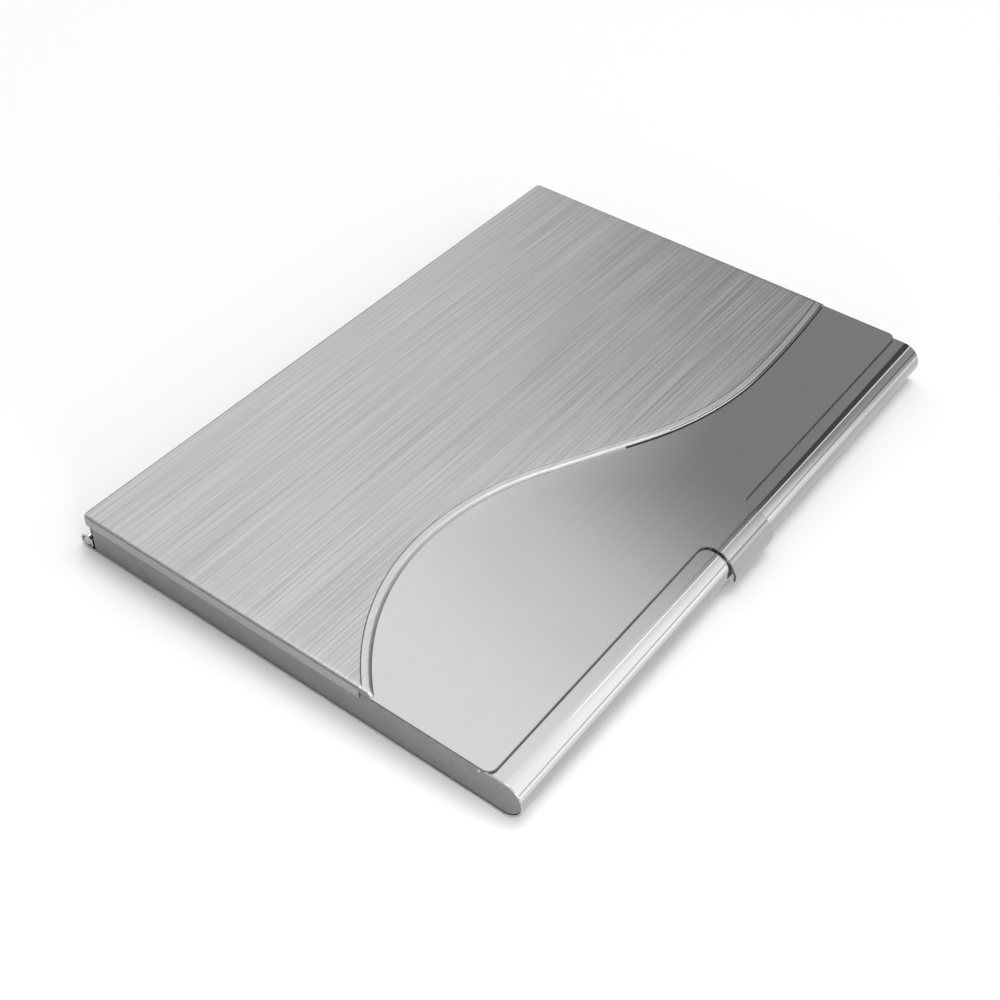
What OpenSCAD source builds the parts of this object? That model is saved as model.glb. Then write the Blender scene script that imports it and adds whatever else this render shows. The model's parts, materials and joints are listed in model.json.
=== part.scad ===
// Flat sheet-metal business card case: a tray with a rolled front edge, and a hinged lid with a latch tab
// and a raised brushed plate that ends in a wave.
// The case lies on the XY plane, hinge along X at +Y, rolled front and latch tab at -Y, +Z up.

/* [Case] */
// Width of the case, along the hinge
case_w = 95; // [92:0.5:105]
// Depth of the case, from the lid's rear edge to the rolled front
case_d = 65; // [63:0.5:72]
// Height of the polished deck above the underside
deck_h = 5.6; // [5.2:0.1:8]
// Thickness of the lid and tray sheet
sheet_t = 0.3; // [0.25:0.05:0.4]
// Depth of the tray's top flange, from the roll's centre line to its free edge
flange_d = 3.3; // [2.6:0.1:5]

/* [Brushed plate] */
// Height of the brushed face above the polished deck
raise_h = 0.4; // [0.3:0.05:0.6]
// Width of the bevel along the wave
bevel_w = 1.3; // [0.8:0.1:2]
// Share of the bevel's width taken by its gentle shoulder, before the steep foot
bevel_shoulder = 0.75; // [0.5:0.05:0.8]
// Depth of the turned-down edge, below the brushed face
skirt_h = 1.5; // [1.2:0.1:2]
// Slope of the wave where it runs straight, as rise over run
wave_slope = 0.5; // [0.4:0.02:0.6]

/* [Latch tab] */
// Width of the tab
tab_w = 9.2; // [7:0.2:20]
// How far the front roll's top shows in front of the lid
front_strip = 4.1; // [3.5:0.1:6]
// Angle over which the tab follows the roll
tab_wrap = 58; // [40:1:62]
// Length of the tab's flared stretch
tab_flare = 1.5; // [1:0.1:2.5]
// Length of the tab's upright lip
tab_lip = 0.8; // [0.4:0.1:1.2]

/* [Hinge] */
// Diameter of the hinge pin
pin_d = 1.4; // [1:0.1:1.4]
// Number of knuckles along the hinge, tray knuckles at both ends
knuckles = 9; // [5:2:13]
// Gap between two knuckles
knuckle_gap = 0.2; // [0.15:0.05:0.4]

/* [End plates] */
// Thickness of the tray's end plates
end_t = 0.5; // [0.4:0.05:0.8]
// Width of the end plates' foot, welded to the tray's floor
foot_w = 3; // [2:0.5:4]

/* [Card spring] */
// Length of the sprung leaf
leaf_l = 46; // [30:1:50]
// Width of the leaf
leaf_w = 12; // [8:1:16]
// Height that the leaf lifts the cards
leaf_lift = 2.2; // [1.5:0.1:2.6]
// Thickness of the leaf
leaf_t = 0.25; // [0.2:0.05:0.3]

/* [Hidden] */
$fn = 64;

// Colours
POLISHED = [0.80, 0.80, 0.80];
BRUSHED = [0.68, 0.68, 0.67];
SATIN = [0.56, 0.56, 0.56];
SPRING = [0.62, 0.62, 0.64];

// Clearances
seat_gap = 0.05;      // lid sheet above the tray's roll
bore_gap = 0.05;      // pin in its knuckles, on the radius
wall_gap = 0.2;       // moving sheet beside fixed sheet
slit_w = 0.12;        // open seam of a rolled knuckle
weld = 0.1;           // overlap of two stretches of one sheet

// Main faces
half_w = case_w / 2;
front_y = -case_d / 2;
rear_y = case_d / 2;
deck_z = deck_h - sheet_t;                   // underside of the deck
roll_r = (deck_z - seat_gap) / 2;            // outer radius of the front roll
roll_y = front_y + roll_r;                   // centre of the front roll
roll_top = 2 * roll_r;
flange_y = roll_y + flange_d;                // free edge of the tray's top flange
hem_h = 0.9;                                 // turned-down edge of that flange
lid_front_y = front_y + front_strip;         // straight front edge of the deck
wall_y = rear_y - sheet_t - wall_gap;        // rear face of the lid's rear wall
body_x = half_w - sheet_t - wall_gap / 4;    // outer face of the end plates, inside the plate's skirt
shell_x = body_x + 0.1;                      // ends of the tray sheet, just past the end plates

// Hinge
bore_r = pin_d / 2 + bore_gap;
knuckle_r = bore_r + sheet_t;
hinge_y = wall_y - sheet_t + knuckle_r;
hinge_z = knuckle_r;
knuckle_pitch = (2 * shell_x + knuckle_gap) / knuckles;
knuckle_clear = 0.35;                        // room round a knuckle of the other leaf
tray_seam_a = 212;                           // seam of the tray's knuckles, below the floor's edge
lid_seam_a = 122;                            // seam of the lid's knuckles, in front of its wall

// Wave between the brushed plate and the polished deck: a crest, a straight run and a trough
crest = [-24, -1.2];
trough = [28, -16.95];
crest_left_r = 32.6;
crest_right_r = 40;
trough_right_r = 186;
wave_a = atan(wave_slope);
run_start = crest + crest_right_r * [sin(wave_a), cos(wave_a) - 1];
trough_left_r = (wave_slope * (trough.x - run_start.x) - (run_start.y - trough.y))
    / (wave_slope * sin(wave_a) - (1 - cos(wave_a)));
run_end_x = trough.x - trough_left_r * sin(wave_a);
wave_steps = 56;

function arc_drop(r, d) = r - sqrt(r * r - d * d);
function wave_y(x) =
    x < crest.x ? crest.y - arc_drop(crest_left_r, crest.x - x) :
    x < run_start.x ? crest.y - arc_drop(crest_right_r, x - crest.x) :
    x < run_end_x ? run_start.y - wave_slope * (x - run_start.x) :
    x < trough.x ? trough.y + arc_drop(trough_left_r, trough.x - x) :
    trough.y + arc_drop(trough_right_r, x - trough.x);
function wave_tangent(x) = (wave_y(x + 0.01) - wave_y(x - 0.01)) / 0.02;
function bevel_y(x, share) = wave_y(x) - share * bevel_w * sqrt(1 + pow(wave_tangent(x), 2));
function bevel_foot_y(x) = bevel_y(x, 1);

// Draws a (y, z) outline along X, centred on x
module along_x(length, x = 0)
    translate([x, 0, 0])
        rotate([90, 0, 90])
            linear_extrude(length, center = true)
                children();

// Rectangle from one corner to the other
module rect(a, b)
    translate(a)
        square(b - a);

// Ring about the hinge pin with the open seam of a rolled sheet, seam at angle seam_a
module knuckle_ring(seam_a)
    translate([hinge_y, hinge_z])
        difference() {
            circle(knuckle_r);
            circle(bore_r);
            rotate(seam_a)
                translate([0, -slit_w / 2])
                    square([knuckle_r + 1, slit_w]);
        }

function knuckle_x(i) = -shell_x + (i + 0.5) * knuckle_pitch - knuckle_gap / 2;
knuckle_l = knuckle_pitch - knuckle_gap;

// Bent outline of the tray sheet: floor, rolled front, and top flange with its hem
module tray_sheet()
    along_x(2 * shell_x) {
        intersection() {
            translate([roll_y, roll_r])
                difference() {
                    circle(roll_r, $fn = 96);
                    circle(roll_r - sheet_t, $fn = 96);
                }
            rect([front_y - 1, -1], [roll_y, roll_top + 1]);
        }
        rect([roll_y, 0], [hinge_y - knuckle_r - knuckle_clear, sheet_t]);
        rect([roll_y, roll_top - sheet_t], [flange_y, roll_top]);
        rect([flange_y - sheet_t, roll_top - hem_h], [flange_y, roll_top]);
    }

// Tray: the bent sheet, pierced for the rivets, with every second knuckle of the hinge
module base_shell() {
    color(POLISHED) {
        difference() {
            tray_sheet();
            for (side = [-1, 1])
                at_rivet(side)
                    translate([0, 0, -1])
                        cylinder(r = rivet_r, h = 2);
        }
        for (i = [0 : 2 : knuckles - 1])
            along_x(knuckle_l, knuckle_x(i)) {
                difference() {
                    rect([hinge_y - knuckle_r - knuckle_clear - weld, 0], [hinge_y, sheet_t]);
                    translate([hinge_y, hinge_z])
                        circle(bore_r);
                }
                knuckle_ring(tray_seam_a);
            }
    }
}

// End plate of the tray: a D-ended wall that fills the roll, with a foot on the floor. side is -1 or 1.
module end_plate(side) {
    inner_r = roll_r - sheet_t - seat_gap;
    end_y = wall_y - sheet_t - wall_gap;
    foot_front = flange_y + 1.5;
    foot_rear = end_y - 0.5;
    color(SATIN) {
        along_x(end_t, side * (body_x - end_t / 2)) {
            translate([roll_y, roll_r])
                circle(inner_r, $fn = 96);
            rect([roll_y, sheet_t], [end_y, roll_top - sheet_t]);
            rect([flange_y + weld, sheet_t], [end_y, roll_top]);
        }
        along_x(foot_w, side * (body_x - end_t - foot_w / 2))
            rect([foot_front, sheet_t], [foot_rear, 2 * sheet_t]);
    }
}

// Card spring: a strip riveted to the floor at its root, which rises and then flattens under the cards
root_x = -40;
root_l = 10;
leaf_steps = 20;
tip_from = 0.9;         // share of the leaf's length before its tip turns down
tip_drop = 0.5;
rivet_pitch = leaf_w / 2;
rivet_r = 0.8;
rivet_head_r = 1.5;
rivet_head_h = 0.35;
function leaf_z(u) = sheet_t + leaf_lift * pow(sin(90 * min(1, u / tip_from)), 2)
    - tip_drop * pow(max(0, u - tip_from) / (1 - tip_from), 2);

module at_rivet(side)
    translate([root_x + root_l / 2, side * rivet_pitch / 2, 0])
        children();

module card_spring() {
    leaf = [for (i = [0 : leaf_steps]) [root_x + root_l + leaf_l * i / leaf_steps, leaf_z(i / leaf_steps)]];
    line = concat([[root_x, sheet_t]], leaf);
    last = len(line) - 1;
    color(SPRING)
        difference() {
            rotate([90, 0, 0])
                linear_extrude(leaf_w, center = true)
                    polygon(concat(line, [for (i = [last : -1 : 0]) line[i] + [0, leaf_t]]));
            for (side = [-1, 1])
                at_rivet(side)
                    cylinder(r = rivet_r, h = 2);
        }
}

// Rivet of the card spring, with its head above the strip and its tail flush with the underside
module spring_rivet(side)
    color(SATIN)
        at_rivet(side) {
            cylinder(r = rivet_r, h = sheet_t + leaf_t + weld);
            translate([0, 0, sheet_t + leaf_t])
                cylinder(r1 = rivet_head_r, r2 = rivet_head_r - 0.5, h = rivet_head_h);
        }

module hinge_pin()
    color(SPRING)
        translate([0, hinge_y, hinge_z])
            rotate([0, 90, 0])
                cylinder(r = pin_d / 2, h = 2 * shell_x - 0.2, center = true);

// Outline of the tab in (y, z): it follows the roll, flares away from it and ends in an upright lip
module tab_profile() {
    inner_r = roll_r + seat_gap;
    outer_r = inner_r + sheet_t;
    wrap_steps = 20;
    roll_c = [roll_y, roll_r];
    out = [-sin(tab_wrap), cos(tab_wrap)];
    bend = roll_c + inner_r * out + tab_flare * [-cos(tab_wrap), -sin(tab_wrap)];
    function wrap(r, i) = roll_c + r * [-sin(tab_wrap * i / wrap_steps), cos(tab_wrap * i / wrap_steps)];
    polygon([
        [lid_front_y + 1, deck_h],
        for (i = [0 : wrap_steps]) wrap(outer_r, i),
        bend + sheet_t * out,
        bend,
        for (i = [wrap_steps : -1 : 0]) wrap(inner_r, i),
        [lid_front_y + 1, deck_z]
    ]);
    translate(bend + sheet_t / 2 * out) {
        circle(sheet_t / 2);
        rect([-sheet_t / 2, -tab_lip], [sheet_t / 2, 0]);
        translate([0, -tab_lip])
            circle(sheet_t / 2);
    }
}

// Lid sheet: polished deck, rear wall with every other knuckle, and the latch tab at the front
module lid_shell() {
    corner_r = 1.2;
    fillet_r = 1.3;
    color(POLISHED) {
        translate([0, 0, deck_z])
            linear_extrude(sheet_t) {
                rect([-half_w + corner_r, lid_front_y], [half_w - corner_r, wall_y]);
                rect([-body_x, lid_front_y + corner_r], [body_x, wall_y]);
                rect([-half_w, lid_front_y + corner_r], [0, bevel_foot_y(-half_w) - weld]);
                rect([0, lid_front_y + corner_r], [half_w, bevel_foot_y(half_w) - weld]);
                for (side = [-1, 1])
                    translate([side * (half_w - corner_r), lid_front_y + corner_r])
                        circle(corner_r);
                for (side = [-1, 1])
                    difference() {
                        translate([side * (tab_w + fillet_r) / 2, lid_front_y])
                            square([fillet_r + 0.02, 2 * fillet_r], center = true);
                        translate([side * (tab_w / 2 + fillet_r), lid_front_y - fillet_r])
                            circle(fillet_r);
                        translate([side * (tab_w / 2 + fillet_r / 2), lid_front_y - fillet_r - 0.5])
                            square([fillet_r + 0.1, 1], center = true);
                    }
            }
        along_x(tab_w)
            tab_profile();
        along_x(2 * body_x)
            rect([wall_y - sheet_t, hinge_z + knuckle_r + knuckle_clear], [wall_y, deck_z + sheet_t]);
        for (i = [1 : 2 : knuckles - 2])
            along_x(knuckle_l, knuckle_x(i)) {
                difference() {
                    rect([wall_y - sheet_t, hinge_z], [wall_y, hinge_z + knuckle_r + knuckle_clear + weld]);
                    translate([hinge_y, hinge_z])
                        circle(bore_r);
                }
                knuckle_ring(lid_seam_a);
            }
    }
}

// Raised plate: flat top with the bevelled wave at its front, skirts at both ends and at the rear
module brushed_plate() {
    edge_z = 0.05;                             // upright edge at the foot of the bevel
    shoulder_z = deck_h + 0.74 * raise_h;      // height kept by the bevel's shoulder
    skirt_z = deck_h + raise_h - skirt_h / 2;
    function section(x) = [
        [x, rear_y, deck_h], [x, rear_y, deck_h + raise_h], [x, wave_y(x), deck_h + raise_h],
        [x, bevel_y(x, bevel_shoulder), shoulder_z],
        [x, bevel_foot_y(x), deck_h + edge_z], [x, bevel_foot_y(x), deck_h]
    ];
    side_n = len(section(0));
    ring_points = [for (i = [0 : wave_steps]) each section(-half_w + case_w * i / wave_steps)];
    sides = [for (i = [0 : wave_steps - 1], k = [0 : side_n - 1])
        let (a = i * side_n + k, b = i * side_n + (k + 1) % side_n)
            [a, a + side_n, b + side_n, b]];
    first = [for (k = [0 : side_n - 1]) k];
    last = [for (k = [side_n - 1 : -1 : 0]) wave_steps * side_n + k];
    color(BRUSHED) {
        polyhedron(ring_points, concat(sides, [first, last]), convexity = 4);
        for (side = [-1, 1]) {
            front = wave_y(side * half_w);
            translate([side * (half_w - sheet_t / 2), (rear_y + front) / 2, skirt_z])
                cube([sheet_t, rear_y - front, skirt_h], center = true);
        }
        translate([0, rear_y - sheet_t / 2, skirt_z])
            cube([case_w, sheet_t, skirt_h], center = true);
    }
}

base_shell();
end_plate(-1);  // end_plate_left
end_plate(1);  // end_plate_right
card_spring();
spring_rivet(-1);  // spring_rivet_front
spring_rivet(1);  // spring_rivet_rear
hinge_pin();
lid_shell();
brushed_plate();
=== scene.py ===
"""Looks of a flat metal card case: a polished tray with a rolled front, and a hinged lid with a latch tab
and a raised brushed plate. Outlines are in millimetres in the case's own frame, and are scaled once, when a
mesh is made."""
import json
import math
import bmesh
import bpy
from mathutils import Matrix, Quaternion, Vector


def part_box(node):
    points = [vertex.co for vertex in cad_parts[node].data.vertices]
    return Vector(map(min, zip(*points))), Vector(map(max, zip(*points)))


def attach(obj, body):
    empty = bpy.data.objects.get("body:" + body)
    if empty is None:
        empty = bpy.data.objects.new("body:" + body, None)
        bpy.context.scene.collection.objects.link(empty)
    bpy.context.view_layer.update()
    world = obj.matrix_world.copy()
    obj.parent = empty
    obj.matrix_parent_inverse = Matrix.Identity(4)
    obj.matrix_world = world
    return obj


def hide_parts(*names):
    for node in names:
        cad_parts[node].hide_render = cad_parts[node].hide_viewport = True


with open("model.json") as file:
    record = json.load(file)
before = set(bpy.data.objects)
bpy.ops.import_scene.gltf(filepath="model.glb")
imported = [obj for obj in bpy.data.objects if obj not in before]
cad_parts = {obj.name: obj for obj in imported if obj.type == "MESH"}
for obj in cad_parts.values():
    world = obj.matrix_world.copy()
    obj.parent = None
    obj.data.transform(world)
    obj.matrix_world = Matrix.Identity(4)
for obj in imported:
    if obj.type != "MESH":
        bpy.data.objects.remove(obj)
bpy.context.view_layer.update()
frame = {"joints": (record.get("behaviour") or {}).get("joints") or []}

MM = 0.001


def box_mm(node):
    low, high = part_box(node)
    return low / MM, high / MM


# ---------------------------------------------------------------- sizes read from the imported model
plate_lo, plate_hi = box_mm("brushed_plate")
lid_hi = box_mm("lid_shell")[1]
tray_lo, tray_hi = box_mm("base_shell")
wall_lo, wall_hi = box_mm("end_plate_left")
pin_lo, pin_hi = box_mm("hinge_pin")
strip_lo, strip_hi = box_mm("card_spring")
rivet_lo, rivet_hi = box_mm("spring_rivet_front")
rivet_rear_lo, rivet_rear_hi = box_mm("spring_rivet_rear")
hinge = Vector(frame["joints"][0]["pos_m"]) / MM

# Sizes that the boxes don't tell, as the model has them
SHEET = 0.3
SEAT_GAP = 0.05                     # lid sheet above the roll, and end plates inside it
BORE_GAP = 0.05                     # pin in its knuckles
WALL_GAP = 0.2                      # lid's rear wall in front of the plate's skirt
FLANGE_DEPTH = 3.3
HEM_H = 0.9
FRONT_STRIP = 4.1                   # roll that shows in front of the lid
KNUCKLES = 9
KNUCKLE_GAP = 0.2
KNUCKLE_CLEAR = 0.35                # room round a knuckle of the other sheet
KNUCKLE_TURN = 300                  # angle that a knuckle wraps
END_T = 0.5
FOOT_W = 3
TAB_HALF = 4.6
TAB_WRAP = 58
TAB_FLARE = 1.5
TAB_LIP = 0.8
BEVEL_W = 1.3
HAIR = 0.01                         # keeps two faces apart that would lie in one plane

HALF_W = plate_hi.x
FRONT_Y = tray_lo.y
REAR_Y = plate_hi.y
TOP_Z = plate_hi.z
DECK_Z = lid_hi.z
BODY_X = -wall_lo.x
TRAY_X = tray_hi.x

ROLL_R = tray_hi.z / 2
ROLL_Y = FRONT_Y + ROLL_R
FLANGE_Y = ROLL_Y + FLANGE_DEPTH
LID_FRONT_Y = FRONT_Y + FRONT_STRIP
WALL_Y = REAR_Y - SHEET - WALL_GAP

PIN_R = (pin_hi.z - pin_lo.z) / 2
BORE_R = PIN_R + BORE_GAP
KNUCKLE_R = BORE_R + SHEET
PITCH = (2 * TRAY_X + KNUCKLE_GAP) / KNUCKLES

# Wave line between the brushed plate and the polished deck: crest, straight run, trough
CREST = (-24, -1.2)
TROUGH = (28, -16.95)
CREST_LEFT_R = 32.6
CREST_RIGHT_R = 40
TROUGH_RIGHT_R = 186
WAVE_SLOPE = 0.5

# Materials' places on the pieces that carry several, after the first. The tray's lower roll, the lid's tab
# and edges, and the plate's step, skirts and the bands beside its bead take painted shade
CUT_EDGE = 1
TRAY_SHADE = 2
LID_TAB, LID_TAB_SHADE = 2, 3
PLATE_SHOULDER, PLATE_FOOT, PLATE_STEP, PLATE_SKIRT_SHADE, PLATE_GROOVE_SHADOW, PLATE_BEAD = range(1, 7)


# ---------------------------------------------------------------- wave
WAVE_ANGLE = math.atan(WAVE_SLOPE)
RUN_X = CREST[0] + CREST_RIGHT_R * math.sin(WAVE_ANGLE)
RUN_Y = CREST[1] - CREST_RIGHT_R * (1 - math.cos(WAVE_ANGLE))
TROUGH_LEFT_R = (WAVE_SLOPE * (TROUGH[0] - RUN_X) - (RUN_Y - TROUGH[1])) / (
    WAVE_SLOPE * math.sin(WAVE_ANGLE) - (1 - math.cos(WAVE_ANGLE))
)
RUN_END_X = TROUGH[0] - TROUGH_LEFT_R * math.sin(WAVE_ANGLE)


def arc_drop(r, d):
    return r - math.sqrt(r * r - d * d)


def wave_y(x):
    if x < CREST[0]:
        return CREST[1] - arc_drop(CREST_LEFT_R, CREST[0] - x)
    if x < RUN_X:
        return CREST[1] - arc_drop(CREST_RIGHT_R, x - CREST[0])
    if x < RUN_END_X:
        return RUN_Y - WAVE_SLOPE * (x - RUN_X)
    if x < TROUGH[0]:
        return TROUGH[1] + arc_drop(TROUGH_LEFT_R, TROUGH[0] - x)
    return TROUGH[1] + arc_drop(TROUGH_RIGHT_R, x - TROUGH[0])


def wave_stretch(x):
    """How much longer a step along Y is than the same step square to the wave."""
    step = 0.01
    tangent = (wave_y(x + step) - wave_y(x - step)) / (2 * step)
    return math.sqrt(1 + tangent * tangent)


# ---------------------------------------------------------------- mesh helpers
def new_object(name, verts, faces, smooth_angle=35, edge=0.0, cut_from=None):
    """Makes a mesh from millimetre points, welds it, faces it outwards and rounds its hard edges.
    Faces from the number cut_from on are cut edges."""
    weld, sliver = 0.004, 0.0002
    mesh = bpy.data.meshes.new(name)
    mesh.from_pydata([Vector(v) * MM for v in verts], [], faces)
    for face in mesh.polygons[cut_from:] if cut_from else []:
        face.material_index = CUT_EDGE
    bm = bmesh.new()
    bm.from_mesh(mesh)
    bmesh.ops.remove_doubles(bm, verts=bm.verts, dist=weld * MM)
    bmesh.ops.dissolve_degenerate(bm, edges=bm.edges, dist=sliver * MM)
    bmesh.ops.recalc_face_normals(bm, faces=bm.faces)
    for f in bm.faces:
        f.smooth = True
    for e in bm.edges:
        if len(e.link_faces) == 2 and e.calc_face_angle(0) > math.radians(smooth_angle):
            e.smooth = False
    bm.to_mesh(mesh)
    bm.free()
    obj = bpy.data.objects.new(name, mesh)
    bpy.context.scene.collection.objects.link(obj)
    if edge:
        mod = obj.modifiers.new("edge_round", "BEVEL")
        mod.width = edge * MM
        mod.segments = 2
        mod.limit_method = "ANGLE"
        mod.angle_limit = math.radians(smooth_angle)
        mod.harden_normals = True
    return obj


class Path:
    """A line in the (y, z) plane made of straight stretches and bends, kept as rows of a point and the
    normal on its left."""

    def __init__(self, start, heading):
        self.at = Vector(start)
        self.heading = math.radians(heading)
        self.rows = []
        self._keep()

    def _keep(self):
        d = self.heading
        self.rows.append((self.at.copy(), Vector((-math.sin(d), math.cos(d)))))

    def line(self, length):
        self.at = self.at + Vector((math.cos(self.heading), math.sin(self.heading))) * length
        self._keep()
        return self

    def line_to_y(self, y):
        return self.line((y - self.at.x) / math.cos(self.heading))

    def bend(self, angle, radius, steps):
        """Turns left by angle degrees (right if negative), at this radius, in that many steps."""
        sign = 1 if angle > 0 else -1
        left = Vector((-math.sin(self.heading), math.cos(self.heading))) * sign
        centre = self.at + left * radius
        start = self.heading
        for i in range(1, steps + 1):
            self.heading = start + math.radians(angle) * i / steps
            out = Vector((-math.sin(self.heading), math.cos(self.heading))) * -sign
            self.at = centre + out * radius
            self._keep()
        return self


class Sheet:
    """Bent sheet metal: faces are drawn on one skin, and the other skin and the edges follow."""

    def __init__(self, side):
        self.side = side          # 1 if the drawn skin is on the path's left, -1 if on its right
        self.outer = []
        self.inner = []
        self.faces = []

    def point(self, x, row):
        at, left = row
        back = left * (-self.side * SHEET)
        self.outer.append((x, at.x, at.y))
        self.inner.append((x, at.x + back.x, at.y + back.y))
        return len(self.outer) - 1

    def strip(self, x0, x1, rows):
        ids = [(self.point(x0, r), self.point(x1, r)) for r in rows]
        for a, b in zip(ids, ids[1:]):
            self.faces.append([a[0], a[1], b[1], b[0]])

    def flat(self, outline, row):
        """One face in the plane of a row's straight stretch. The outline is in (x, y)."""
        at, left = row
        slope = -left.x / left.y
        rows = [(x, (Vector((y, at.y + slope * (y - at.x))), left)) for x, y in outline]
        self.faces.append([self.point(x, flat_row) for x, flat_row in rows])

    def build(self, name, **options):
        n = len(self.outer)
        key = {}
        ids = [key.setdefault(tuple(round(c, 3) for c in p), i) for i, p in enumerate(self.outer)]
        faces = [[ids[i] for i in f] for f in self.faces]
        count = {}
        for f in faces:
            for a, b in zip(f, f[1:] + f[:1]):
                count[frozenset((a, b))] = count.get(frozenset((a, b)), 0) + 1
        rim = [
            [a, b, b + n, a + n]
            for f in faces
            for a, b in zip(f, f[1:] + f[:1])
            if count[frozenset((a, b))] == 1
        ]
        back = [[i + n for i in reversed(f)] for f in faces]
        skins = faces + back
        return new_object(name, self.outer + self.inner, skins + rim, cut_from=len(skins), **options)


def prism(name, outline, x0, x1, **options):
    """A (y, z) outline drawn out along X."""
    n = len(outline)
    verts = [(x, y, z) for x in (x0, x1) for y, z in outline]
    faces = [list(range(n)), list(range(2 * n - 1, n - 1, -1))]
    faces += [[i, (i + 1) % n, (i + 1) % n + n, i + n] for i in range(n)]
    return new_object(name, verts, faces, **options)


def turned(name, outline, centre, axis, steps=64, **options):
    """An (r, h) outline turned about an axis through centre, 'X' or 'Z'. It starts and ends on the axis."""
    verts, faces, rings = [], [], []
    for r, h in outline:
        ring = []
        for i in range(steps if r > 0 else 1):
            a = 2 * math.pi * i / steps
            u, v = r * math.cos(a), r * math.sin(a)
            ring.append(len(verts))
            verts.append((centre[0] + h, centre[1] + u, centre[2] + v) if axis == "X"
                         else (centre[0] + u, centre[1] + v, centre[2] + h))
        rings.append(ring)
    for a, b in zip(rings, rings[1:]):
        for i in range(steps):
            j = (i + 1) % steps
            quad = [a[i % len(a)], a[j % len(a)], b[j % len(b)], b[i % len(b)]]
            faces.append(list(dict.fromkeys(quad)))
    return new_object(name, verts, faces, **options)


def quarter_turn(steps):
    """Angles of a quarter circle, from 0."""
    return [math.pi / 2 * i / steps for i in range(steps + 1)]


def knuckle_span(i):
    x = -TRAY_X + i * PITCH
    return x, x + PITCH - KNUCKLE_GAP


# ---------------------------------------------------------------- tray sheet
def make_tray():
    """Hem, top flange, half-round front, floor and the tray's knuckles, all from one bent blank."""
    corner = 0.42                       # outer radius of the bend at the flange's free edge
    floor_rear = hinge.y - KNUCKLE_R - KNUCKLE_CLEAR
    path = Path((FLANGE_Y, tray_hi.z - HEM_H), 90)
    path.line(HEM_H - corner).bend(90, corner, 6).line_to_y(ROLL_Y).bend(180, ROLL_R, 72)
    front_rows = len(path.rows)
    path.line_to_y(floor_rear)
    fingers_from = len(path.rows) - 1
    path.line_to_y(hinge.y).bend(KNUCKLE_TURN, KNUCKLE_R, 60)
    rows = path.rows

    sheet = Sheet(side=-1)
    spans = [knuckle_span(i) for i in range(0, KNUCKLES, 2)]
    rivet_x = (rivet_lo.x + rivet_hi.x) / 2
    for x0, x1 in ((-TRAY_X, rivet_x), (rivet_x, TRAY_X)):
        sheet.strip(x0, x1, rows[:front_rows])

    # The floor is two faces that meet along the rivets' line, with half of each rivet hole in either
    hole_r, hole_steps = 0.86, 16
    half_hole = [(hole_r * math.sin(math.pi * i / hole_steps), hole_r * math.cos(math.pi * i / hole_steps))
                 for i in range(hole_steps + 1)]
    holes = [(lo.y + hi.y) / 2 for lo, hi in ((rivet_lo, rivet_hi), (rivet_rear_lo, rivet_rear_hi))]

    def seam(side):
        line = [(rivet_x, ROLL_Y)]
        for y in sorted(holes):
            line += [(rivet_x + side * across, y - along) for across, along in half_hole]
        return line + [(rivet_x, floor_rear)]

    rear = sorted(x for span in spans for x in span)
    left_rear = [(x, floor_rear) for x in rear if x < rivet_x]
    right_rear = [(x, floor_rear) for x in rear if x > rivet_x]
    floor = rows[fingers_from]
    sheet.flat([(-TRAY_X, ROLL_Y)] + seam(-1) + left_rear[::-1], floor)
    sheet.flat(seam(1) + right_rear + [(TRAY_X, ROLL_Y)], floor)
    # A finger that straddles the rivets' line is split there too
    for x0, x1 in spans:
        cuts = [x0] + ([rivet_x] if x0 < rivet_x < x1 else []) + [x1]
        for a, b in zip(cuts, cuts[1:]):
            sheet.strip(a, b, rows[fingers_from:])
    obj = sheet.build("tray_sheet", edge=0.06)
    # Below this height the roll is painted darker and made a little rougher: painted shade for the contact
    # shadow that its lower half reflects
    roll_shade_z = 1.47 * ROLL_R
    for face in obj.data.polygons:
        centre = face.center / MM
        if face.material_index == 0 and centre.y < ROLL_Y and centre.z < roll_shade_z:
            face.material_index = TRAY_SHADE
    return obj


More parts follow.
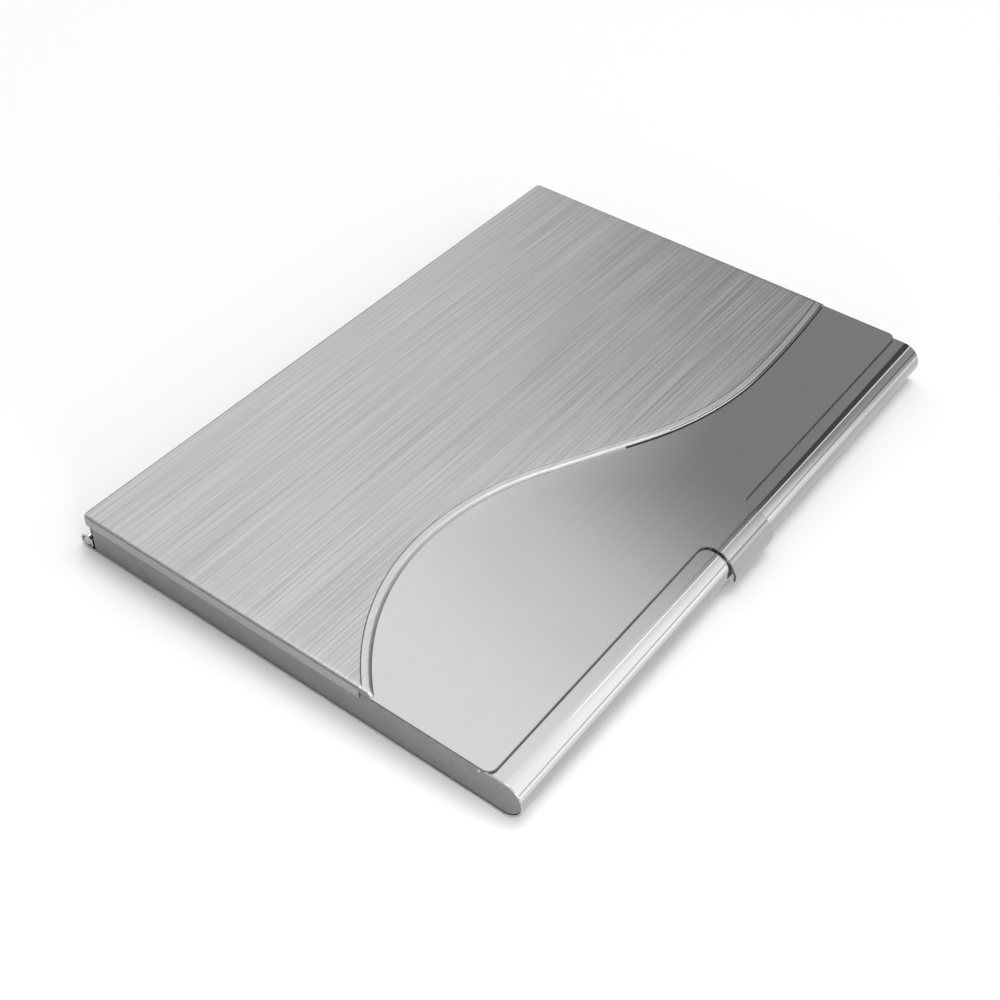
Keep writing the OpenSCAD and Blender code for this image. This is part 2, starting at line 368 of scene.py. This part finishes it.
# ---------------------------------------------------------------- lid sheet
def make_lid():
    """Latch tab, polished deck, rear wall and the lid's knuckles, all from one bent blank."""
    wrap_r = ROLL_R + SEAT_GAP + SHEET
    wrap = math.radians(TAB_WRAP)
    out = Vector((-math.sin(wrap), math.cos(wrap)))
    tangent = Vector((math.cos(wrap), math.sin(wrap)))
    bend_at = Vector((ROLL_Y, ROLL_R)) + out * wrap_r - tangent * TAB_FLARE
    lip_r = 0.45
    reach = lip_r * math.tan(math.radians(90 - TAB_WRAP) / 2)
    path = Path((bend_at.x, bend_at.y - reach - TAB_LIP), 90)
    path.line(TAB_LIP).bend(-(90 - TAB_WRAP), lip_r, 6).line(TAB_FLARE - reach)
    path.bend(-TAB_WRAP, wrap_r, 28)
    tab_rows = len(path.rows)
    fold_r = 0.5
    path.line_to_y(WALL_Y - fold_r)
    deck = path.rows[-1]
    rear_from = len(path.rows) - 1
    path.bend(-90, fold_r, 8)
    wall_foot = hinge.z + KNUCKLE_R + KNUCKLE_CLEAR
    path.line(path.at.y - wall_foot)
    fingers_from = len(path.rows) - 1
    path.line(path.at.y - hinge.z).bend(KNUCKLE_TURN, BORE_R, 60)
    rows = path.rows

    # Right half of the deck's front: rounded corner, straight edge, fillet and root of the tab
    corner_r, fillet_r = 1.2, 1.3
    quarter = [(1 - math.sin(a), 1 - math.cos(a)) for a in quarter_turn(12)]
    half = [(HALF_W - corner_r * u, LID_FRONT_Y + corner_r * v) for u, v in quarter[::-1]]
    half += [(TAB_HALF + fillet_r * u, LID_FRONT_Y - fillet_r * v) for u, v in quarter]
    half += [(TAB_HALF, ROLL_Y)]
    # The deck has its full width up to the ends of the plate's skirts
    foot_right = wave_y(HALF_W) - 0.25
    foot_left = wave_y(-HALF_W) + 0.35
    rear_y = WALL_Y - fold_r
    spans = [knuckle_span(i) for i in range(1, KNUCKLES, 2)]
    lid_x = BODY_X - 0.1                # inside the skirts

    sheet = Sheet(side=1)
    sheet.strip(-TAB_HALF, TAB_HALF, rows[:tab_rows])
    outline = [(lid_x, rear_y), (lid_x, foot_right), (HALF_W, foot_right)] + half
    outline += [(-x, y) for x, y in half[::-1]]
    outline += [(-HALF_W, foot_left), (-lid_x, foot_left), (-lid_x, rear_y)]
    sheet.flat(outline, deck)
    sheet.strip(-lid_x, lid_x, rows[rear_from:fingers_from])
    # Wall down to the knuckles' roots
    at, left = rows[fingers_from]
    top = rows[fingers_from - 1]
    roots = sorted(x for span in spans for x in span)
    sheet.faces.append(
        [sheet.point(-lid_x, top), sheet.point(lid_x, top), sheet.point(lid_x, (at, left))]
        + [sheet.point(x, (at, left)) for x in roots[::-1]]
        + [sheet.point(-lid_x, (at, left))]
    )
    for x0, x1 in spans:
        sheet.strip(x0, x1, rows[fingers_from:])
    obj = sheet.build("lid_sheet", edge=0.07)
    # On the lid the cut edges and their rounding take the dark edge material: painted shade along the lid's
    # edges
    obj.modifiers["edge_round"].material = CUT_EDGE
    # The tab is a little rougher than the deck and painted darker as painted shade, most of all below this
    # height, where it turns down round the roll
    tab_shade_z = 1.86 * ROLL_R
    for face in obj.data.polygons:
        centre = face.center / MM
        if face.material_index == 0 and centre.y < ROLL_Y:
            face.material_index = LID_TAB if centre.z > tab_shade_z else LID_TAB_SHADE
    return obj


# ---------------------------------------------------------------- brushed plate
def make_plate():
    """Raised plate: flat top, a wave-edged bevel at its front, and rounded edges turned down at the ends
    and the rear."""
    round_r, round_steps = 0.55, 6
    corner_r, corner_steps = 0.75, 8
    rise = TOP_Z - DECK_Z
    # The plate's section across the wave, as distance from the wave line towards the deck and share of the
    # rise: a small step at its top edge, a gentle shoulder, then a steep foot
    section = [(-0.08, 1.0), (-0.02, 0.985), (0.05, 0.90), (0.12, 0.885),
               (0.45, 0.87), (0.75, 0.83), (0.92, 0.78),
               (1.02, 0.67), (1.14, 0.52), (1.21, 0.38), (1.28, 0.12), (BEVEL_W, 0.01)]
    inner_x = HALF_W - round_r
    columns = 240
    xs = [-inner_x + 2 * inner_x * i / columns for i in range(columns + 1)]
    verts, faces = [], []

    def add(point):
        verts.append(point)
        return len(verts) - 1

    band = [[add((x, wave_y(x) - d * wave_stretch(x), DECK_Z + rise * h)) for x in xs]
            for d, h in section]
    for upper, lower in zip(band, band[1:]):
        for i in range(columns):
            faces.append([upper[i], upper[i + 1], lower[i + 1], lower[i]])

    # Stations round the rim, from the bevel's foot on the left, round the rear, to the foot on the right.
    # Each has x, y, inward normal, top height and foot height. The skirts end at the wave line
    skirt_row = next(i for i, (d, h) in enumerate(section) if d >= 0)

    def side_stations(sign):
        x = sign * HALF_W
        made = []
        for j in range(len(section) - 1, -1, -1):
            d, h = section[j]
            y = wave_y(sign * inner_x) - d * wave_stretch(sign * inner_x)
            top = DECK_Z + rise * h
            if j >= skirt_row:
                made.append((x, y, (-sign, 0), top, DECK_Z))
            if j <= skirt_row:
                made.append((x, y, (-sign, 0), top, plate_lo.z))
        return made

    stations = side_stations(-1)
    for sign in (-1, 1):
        angles = quarter_turn(corner_steps)
        for a in angles if sign < 0 else angles[::-1]:
            out_x, out_y = sign * math.cos(a), math.sin(a)
            x = sign * (HALF_W - corner_r) + corner_r * out_x
            y = REAR_Y - corner_r + corner_r * out_y
            stations.append((x, y, (-out_x, -out_y), TOP_Z, plate_lo.z))
    stations += side_stations(1)[::-1]

    rings = []
    for x, y, (nx, ny), top, foot in stations:
        r = min(round_r, (top - DECK_Z) * 0.85)
        ring = []
        for a in quarter_turn(round_steps):
            inset = round_r * (1 - math.sin(a))
            ring.append(add((x + nx * inset, y + ny * inset, top - r * (1 - math.cos(a)))))
        ring.append(add((x, y, foot)))
        ring.append(add((x + nx * SHEET, y + ny * SHEET, foot)))
        ring.append(add((x + nx * SHEET, y + ny * SHEET, DECK_Z)))
        rings.append(ring)
    for a, b in zip(rings, rings[1:]):
        for i in range(len(a) - 1):
            faces.append([a[i], b[i], b[i + 1], a[i + 1]])

    # The rim's first and last stations lie along the bevel's ends, and the rest go round the flat top
    front = len(section)
    top_loop = [r[0] for r in rings[front:len(rings) - front]]
    faces.append(band[0] + top_loop[::-1])
    under = [r[-1] for r in rings]
    faces.append(band[-1][::-1] + under)
    obj = new_object("wave_plate", verts, faces, smooth_angle=28)

    # Across the bevel, by share of the rise: the step, painted dark as painted shade, the shoulder, and the
    # foot.
    # Past the wave's middle the foot has a polished bead with a near black band of painted shadow on either
    # side.
    # The upright skirts are painted darker: painted shade
    step_from, shoulder_from = 0.885, 0.75
    bead_from, bead_to = 0.57, 0.64
    groove_x, bead_x = 4, 10
    for face in obj.data.polygons:
        centre = face.center / MM
        share = (centre.z - DECK_Z) / rise
        if abs(centre.x) < inner_x and 0.02 < share < 0.97 and face.normal.z > 0.05:
            if share > step_from:
                face.material_index = PLATE_STEP
            elif share > shoulder_from:
                face.material_index = PLATE_SHOULDER
            elif centre.x < groove_x or (centre.x < bead_x and share > bead_from):
                face.material_index = PLATE_FOOT
            elif bead_from < share < bead_to:
                face.material_index = PLATE_BEAD
            else:
                face.material_index = PLATE_GROOVE_SHADOW
        elif abs(face.normal.z) < 0.3:
            face.material_index = PLATE_SKIRT_SHADE
    return obj


# ---------------------------------------------------------------- small pieces
def make_end_wall(side):
    """D-ended wall that closes the tray's end."""
    r, steps = ROLL_R - SHEET - SEAT_GAP, 48
    rear, top = wall_hi.y, tray_hi.z
    flange_end = FLANGE_Y + 0.1
    outline = [(ROLL_Y - r * math.sin(math.pi * i / steps), ROLL_R + r * math.cos(math.pi * i / steps))
               for i in range(steps + 1)]
    outline += [(rear, SHEET + HAIR), (rear, top), (flange_end, top), (flange_end, top - SHEET - HAIR)]
    x0, x1 = sorted((side * BODY_X, side * (BODY_X - END_T)))
    name = "end_wall_left" if side < 0 else "end_wall_right"
    return prism(name, outline, x0, x1, edge=0.05)


def make_foot(side):
    """Foot of an end wall, welded to the tray's floor."""
    x0, x1 = sorted((side * (BODY_X - END_T), side * (BODY_X - END_T - FOOT_W)))
    low, high = SHEET + HAIR / 2, 2 * SHEET
    y0, y1 = FLANGE_Y + 1.5, wall_hi.y - 0.5
    outline = [(y0, low), (y1, low), (y1, high), (y0, high)]
    name = "end_foot_left" if side < 0 else "end_foot_right"
    return prism(name, outline, x0, x1, edge=0.05)


def make_pin():
    chamfer = 0.15
    half = (pin_hi.x - pin_lo.x) / 2
    outline = [(0, -half), (PIN_R - chamfer, -half), (PIN_R, -half + chamfer),
               (PIN_R, half - chamfer), (PIN_R - chamfer, half), (0, half)]
    return turned("hinge_wire", outline, (0, hinge.y, hinge.z), "X", steps=48)


def make_strip():
    """Bowed spring strip, with a rounded free end and the same rise as its solid."""
    x0, x1, half = strip_lo.x, strip_hi.x, strip_hi.y
    root, lift, thick = 10, 2.2, 0.25
    tip_from, drop = 0.9, 0.5           # share of the length before the tip turns down, and how far
    end_r = 3.0                         # corners of the free end
    steps = 60
    verts, faces = [], []

    def under_z(x):
        u = max(0, (x - x0 - root) / (x1 - x0 - root))
        rise = lift * math.sin(math.pi / 2 * min(1, u / tip_from)) ** 2
        return SHEET + rise - drop * (max(0, u - tip_from) / (1 - tip_from)) ** 2

    for i in range(steps + 1):
        x = x0 + (x1 - x0) * i / steps
        over = max(0, x - (x1 - end_r))
        w = half - (end_r - math.sqrt(max(0, end_r ** 2 - over ** 2)))
        z = under_z(x)
        for y in (-w, w):
            verts += [(x, y, z + HAIR / 2), (x, y, z + thick)]
    for i in range(steps):
        a, b = 4 * i, 4 * i + 4
        faces += [[a, a + 2, b + 2, b], [a + 1, b + 1, b + 3, a + 3]]
        faces += [[a, b, b + 1, a + 1], [a + 2, a + 3, b + 3, b + 2]]
    faces += [[0, 1, 3, 2], [4 * steps, 4 * steps + 2, 4 * steps + 3, 4 * steps + 1]]
    return new_object("spring_strip", verts, faces, edge=0.04)


def make_rivet(name, low, high):
    """Rivet with a low domed head above the strip and a chamfered tail just inside the underside."""
    x, y = (low.x + high.x) / 2, (low.y + high.y) / 2
    head_r, tail_r = (high.x - low.x) / 2, 0.8
    tail_z, chamfer = 0.03, 0.05
    head_z = SHEET + 0.26
    rim = 0.25                          # share of the head's height taken by its upright rim
    outline = [(0, tail_z), (tail_r - chamfer, tail_z), (tail_r, tail_z + chamfer)]
    outline += [(tail_r, head_z), (head_r, head_z)]
    outline += [(head_r * math.cos(a), head_z + (high.z - head_z) * (rim + (1 - rim) * math.sin(a)))
                for a in quarter_turn(8)[:-1]]
    outline += [(0, high.z)]
    return turned(name, outline, (x, y, 0), "Z", steps=40)


# ---------------------------------------------------------------- materials
def node_maker(tree):
    def make(kind, inputs=None, **settings):
        n = tree.nodes.new(kind)
        for k, v in settings.items():
            setattr(n, k, v)
        for k, v in (inputs or {}).items():
            if isinstance(v, bpy.types.NodeSocket):
                tree.links.new(v, n.inputs[k])
            else:
                n.inputs[k].default_value = v
        return n
    return make


def metal(name, colour, dark, roughness, spread, lines=0.0, line_scale=(6, 2600), aniso=0.0,
          bump=0.0, smudge=0.0, scratch=0.0):
    """Bare metal whose tone, roughness and height vary along fine brush lines, smudges and hairline
    scratches. The tone runs from dark to colour, and line_scale is (along, across) the lines."""
    mat = bpy.data.materials.new(name)
    mat.use_nodes = True
    tree = mat.node_tree
    tree.nodes.clear()
    make = node_maker(tree)
    place = make("ShaderNodeTexCoord").outputs["Object"]

    def noise(scale, rotation=(0, 0, 0), **values):
        """Noise stretched by scale, turned by rotation."""
        mapped = make("ShaderNodeMapping", {"Vector": place, "Scale": scale, "Rotation": rotation})
        return make("ShaderNodeTexNoise", {"Vector": mapped.outputs[0], "Scale": 1.0, **values}).outputs[0]

    def ramp(value, start, end, low, high):
        return make("ShaderNodeMapRange", {0: value, 1: start, 2: end, 3: low, 4: high}).outputs[0]

    def math_node(operation, first, second, **settings):
        return make("ShaderNodeMath", {0: first, 1: second}, operation=operation, **settings).outputs[0]

    along, across = line_scale
    fine = noise((along, across, across), Detail=2.0)
    broad = noise((along * 0.4, across * 0.3, across * 0.3), Detail=3.0, Roughness=0.55)
    cloud = noise((60, 60, 60), Detail=5.0, Roughness=0.6)
    hair = noise((30, 5200, 5200), (0, 0, 0.35), Detail=2.0)
    height = make("ShaderNodeMix", {0: 0.15, 2: fine, 3: broad}, data_type="FLOAT").outputs[0]
    streak = ramp(height, 0.36, 0.64, 0.0, 1.0)
    hairline = ramp(hair, 0.66, 0.76, 0.0, 1.0)

    tone = make("ShaderNodeMix", {0: streak, 6: dark, 7: colour}, data_type="RGBA").outputs[2]
    swing = spread * (0.2 + lines)
    rough_lines = ramp(streak, 0.0, 1.0, roughness - swing, roughness + swing)
    rough_cloud = ramp(cloud, 0.35, 0.7, 0.0, smudge)
    rough_hair = math_node("MULTIPLY", hairline, scratch)
    rough = math_node("ADD", math_node("ADD", rough_lines, rough_cloud), rough_hair, use_clamp=True)

    shader = make("ShaderNodeBsdfPrincipled", {"Base Color": tone, "Roughness": rough, "Metallic": 1.0,
                                              "Anisotropic": aniso})
    if aniso:
        shader_tangent = make("ShaderNodeTangent", direction_type="UV_MAP", uv_map="across")
        tree.links.new(shader_tangent.outputs[0], shader.inputs["Tangent"])
    if bump:
        relief = make("ShaderNodeBump", {"Height": height, "Strength": bump, "Distance": 0.00004})
        tree.links.new(relief.outputs[0], shader.inputs["Normal"])
    out = make("ShaderNodeOutputMaterial")
    tree.links.new(shader.outputs[0], out.inputs[0])
    return mat


def across_uv(obj):
    """A UV map whose U runs across the brush lines, the way their highlights spread."""
    layer = obj.data.uv_layers.new(name="across")
    for loop in obj.data.loops:
        p = obj.data.vertices[loop.vertex_index].co
        layer.data[loop.index].uv = ((p.y - p.z) * 10 + 0.5, p.x * 10 + 0.5)


def pale(level, blue):
    """A grey with its own amount of blue."""
    return (level, level, blue, 1)


def grey(level):
    return pale(level, level)


polished = metal("polished_steel", pale(0.595, 0.59), pale(0.585, 0.58), roughness=0.055, spread=0.004,
                 lines=0.1, line_scale=(60, 900), smudge=0.012, scratch=0.02)
brushed = metal("brushed_steel", pale(0.47, 0.467), pale(0.345, 0.343), roughness=0.37, spread=0.06,
                lines=0.5, line_scale=(38, 7200), aniso=0.25, bump=0.3, smudge=0.03)
shoulder = metal("shoulder_steel", pale(0.52, 0.515), pale(0.47, 0.465), roughness=0.36, spread=0.03,
                 lines=0.3, line_scale=(70, 4000), smudge=0.03)
foot_steel = metal("foot_steel", grey(0.41), grey(0.36), roughness=0.42, spread=0.03,
                   lines=0.3, line_scale=(70, 4000), smudge=0.03)
# Painted shade: the plate's upright skirts, darker than its brushed top
skirt_shade_steel = metal("skirt_shade_steel", pale(0.36, 0.357), pale(0.31, 0.307), roughness=0.36, spread=0.03,
                    lines=0.3, line_scale=(70, 4000), smudge=0.03)
# Painted shadow: near black bands beside the bead on the plate's foot
groove_shadow_steel = metal("groove_shadow_steel", grey(0.045), grey(0.03), roughness=0.4, spread=0.05,
                     lines=0.3, line_scale=(70, 4000), smudge=0.03)
# The tab: rougher than the deck, and painted darker as painted shade
tab_shade_steel = metal("tab_shade_steel", pale(0.54, 0.537), pale(0.51, 0.507), roughness=0.10, spread=0.01,
                  lines=0.2, line_scale=(60, 900), smudge=0.03, scratch=0.03)
# Painted shade: a darker, slightly rougher copy of the polished steel, for the roll's lower half and the
# tab's lower part
painted_shade_steel = metal("painted_shade_steel", pale(0.42, 0.417), pale(0.39, 0.387), roughness=0.09, spread=0.01,
                   lines=0.2, line_scale=(60, 900), smudge=0.03, scratch=0.03)
# Painted shade: dark lines along the lid's edges and at the plate's step
edge_shade_steel = metal("edge_shade_steel", grey(0.20), grey(0.14), roughness=0.35, spread=0.05,
                 lines=0.3, line_scale=(300, 3000), smudge=0.05)
satin = metal("satin_steel", grey(0.28), grey(0.24), roughness=0.46, spread=0.06,
              lines=0.5, line_scale=(1600, 900), bump=0.12, smudge=0.05)
spring_steel = metal("spring_steel", (0.52, 0.525, 0.53, 1), pale(0.42, 0.43), roughness=0.28, spread=0.06,
                     lines=0.6, line_scale=(40, 1800), bump=0.15, smudge=0.06)
drawn_wire = metal("drawn_wire", grey(0.55), grey(0.45), roughness=0.25, spread=0.05,
                   lines=0.5, line_scale=(60, 1500), bump=0.1, smudge=0.05)


def place_piece(obj, body, slot, material, *nodes):
    obj.data.materials.append(material)
    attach(obj, body)
    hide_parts(*nodes)
    return obj


def more_materials(obj, *materials):
    """The materials after the first, in the order of the places that the piece's faces name."""
    for material in materials:
        obj.data.materials.append(material)


tray = place_piece(make_tray(), "tray", "polished_tray", polished, "base_shell")
more_materials(tray, shoulder, painted_shade_steel)
lid = place_piece(make_lid(), "lid", "polished_lid", polished, "lid_shell")
more_materials(lid, edge_shade_steel, tab_shade_steel, painted_shade_steel)
plate = place_piece(make_plate(), "lid", "brushed_face", brushed, "brushed_plate")
more_materials(plate, shoulder, foot_steel, edge_shade_steel, skirt_shade_steel, groove_shadow_steel, polished)
across_uv(plate)
for side, word in ((-1, "left"), (1, "right")):
    place_piece(make_end_wall(side), "tray", "satin_ends", satin, f"end_plate_{word}")
    place_piece(make_foot(side), "tray", "satin_ends", satin, f"end_plate_{word}")
place_piece(make_pin(), "tray", "pin_wire", drawn_wire, "hinge_pin")
place_piece(make_strip(), "tray", "spring_strip", spring_steel, "card_spring")
place_piece(make_rivet("rivet_front", rivet_lo, rivet_hi), "tray", "rivets", spring_steel,
            "spring_rivet_front")
place_piece(make_rivet("rivet_rear", rivet_rear_lo, rivet_rear_hi), "tray", "rivets", spring_steel,
            "spring_rivet_rear")


# ---------------------------------------------------------------- floor, lights and camera
def make_floor():
    half, z = 3.0, -0.00003
    corners = [(-half, -half, z), (half, -half, z), (half, half, z), (-half, half, z)]
    mesh = bpy.data.meshes.new("floor")
    mesh.from_pydata(corners, [], [(0, 1, 2, 3)])
    obj = bpy.data.objects.new("floor", mesh)
    bpy.context.scene.collection.objects.link(obj)
    mat = bpy.data.materials.new("pale_floor")
    mat.use_nodes = True
    shader = mat.node_tree.nodes["Principled BSDF"]
    shader.inputs["Base Color"].default_value = (0.84, 0.84, 0.84, 1)
    shader.inputs["Roughness"].default_value = 0.9
    shader.inputs["Specular IOR Level"].default_value = 0.1
    obj.data.materials.append(mat)


def facing(azimuth, elevation):
    """Direction from the case, with its azimuth counted from +X towards +Y."""
    a, e = math.radians(azimuth), math.radians(elevation)
    return Vector((math.cos(a) * math.cos(e), math.sin(a) * math.cos(e), math.sin(e)))


def soft_light(name, azimuth, elevation, distance, size, power):
    """A rectangular light that faces the case."""
    back = facing(azimuth, elevation)
    data = bpy.data.lights.new(name, "AREA")
    data.shape = "RECTANGLE"
    data.size, data.size_y = size
    data.energy = power
    obj = bpy.data.objects.new(name, data)
    obj.location = back * distance
    obj.rotation_mode = "QUATERNION"
    obj.rotation_quaternion = back.to_track_quat("Z", "Y")
    bpy.context.scene.collection.objects.link(obj)


def make_world():
    """Soft studio surround: a dim disc low on the right, darkest in its middle, a thin dark line above the
    horizon, and less light from the case's left."""
    world = bpy.data.worlds.new("studio")
    bpy.context.scene.world = world
    world.use_nodes = True
    tree = world.node_tree
    tree.nodes.clear()
    make = node_maker(tree)

    def ramp(value, start, end, low, high, **settings):
        inputs = {0: value, 1: start, 2: end, 3: low, 4: high}
        return make("ShaderNodeMapRange", inputs, **settings).outputs[0]

    def math_node(operation, first, second):
        return make("ShaderNodeMath", {0: first, 1: second}, operation=operation).outputs[0]

    def off(value, middle):
        return math_node("ABSOLUTE", math_node("SUBTRACT", value, middle), 0.0)

    direction = make("ShaderNodeTexCoord").outputs["Generated"]
    x, y, z = make("ShaderNodeSeparateXYZ", {0: direction}).outputs
    turn = math_node("ARCTAN2", y, x)

    # Nearness to the disc's middle is the cosine of the angle from it. Light comes back in two soft steps
    nearness = make("ShaderNodeVectorMath", {0: direction, 1: facing(3, 6)},
                    operation="DOT_PRODUCT").outputs["Value"]
    inner = ramp(nearness, 0.772, 0.69, 0.36, 0.97, interpolation_type="SMOOTHSTEP")
    outer = ramp(nearness, 0.72, 0.60, 0.0, 0.33, interpolation_type="SMOOTHSTEP")
    disc = math_node("ADD", inner, outer)

    # Behind the case it is brighter, most of all low down
    rear_turn = ramp(turn, math.radians(22), math.radians(36), 0.3, 1.8)
    rear = math_node("MULTIPLY", rear_turn, ramp(z, 0.5, 0.7, 1.0, 0.6))

    front = ramp(y, -0.5, 0.3, 1.12, 0.87)
    middle = ramp(off(turn, math.radians(1)), math.radians(11), math.radians(15), 0.25, 1.0)
    above = ramp(z, 0.70, 0.79, 0.25, 1.0)
    core = math_node("MAXIMUM", middle, above)
    line = ramp(off(z, 0.276), 0.02, 0.045, 0.35, 1.0)
    side = ramp(x, -0.6, 0.15, 0.25, 1.0)
    strength = math_node("MAXIMUM", disc, rear)
    for factor in (front, core, line, side):
        strength = math_node("MULTIPLY", strength, factor)
    background = make("ShaderNodeBackground", {"Strength": strength})
    background.inputs["Color"].default_value = (1.0, 1.0, 1.0, 1)
    out = make("ShaderNodeOutputWorld")
    tree.links.new(background.outputs[0], out.inputs[0])


def make_camera():
    data = bpy.data.cameras.new("camera")
    data.lens, data.sensor_width = 54.95, 36
    data.shift_x = 0.05
    data.clip_start, data.clip_end = 0.01, 20
    obj = bpy.data.objects.new("camera", data)
    target = Vector((-12.853, 3.295, 0)) * MM
    azimuth, elevation, roll = math.radians(-53.631), math.radians(43.547), math.radians(1.638)
    distance = 194.321 * MM
    ground = math.cos(elevation)
    back = Vector((math.sin(azimuth) * ground, -math.cos(azimuth) * ground, math.sin(elevation)))
    obj.location = target + back * distance
    obj.rotation_mode = "QUATERNION"
    obj.rotation_quaternion = (-back).to_track_quat("-Z", "Y") @ Quaternion((0, 0, 1), roll)
    bpy.context.scene.collection.objects.link(obj)
    bpy.context.scene.camera = obj


make_floor()
make_world()
soft_light("key", -10, 79, 0.9, (0.45, 0.45), 2.8)
soft_light("corner_fill", -140, 14, 0.15, (0.05, 0.03), 0.07)
soft_light("edge_strip", -16.5, 45, 0.8, (0.03, 0.36), 0.045)
make_camera()
bpy.context.scene.view_settings.view_transform = "Standard"
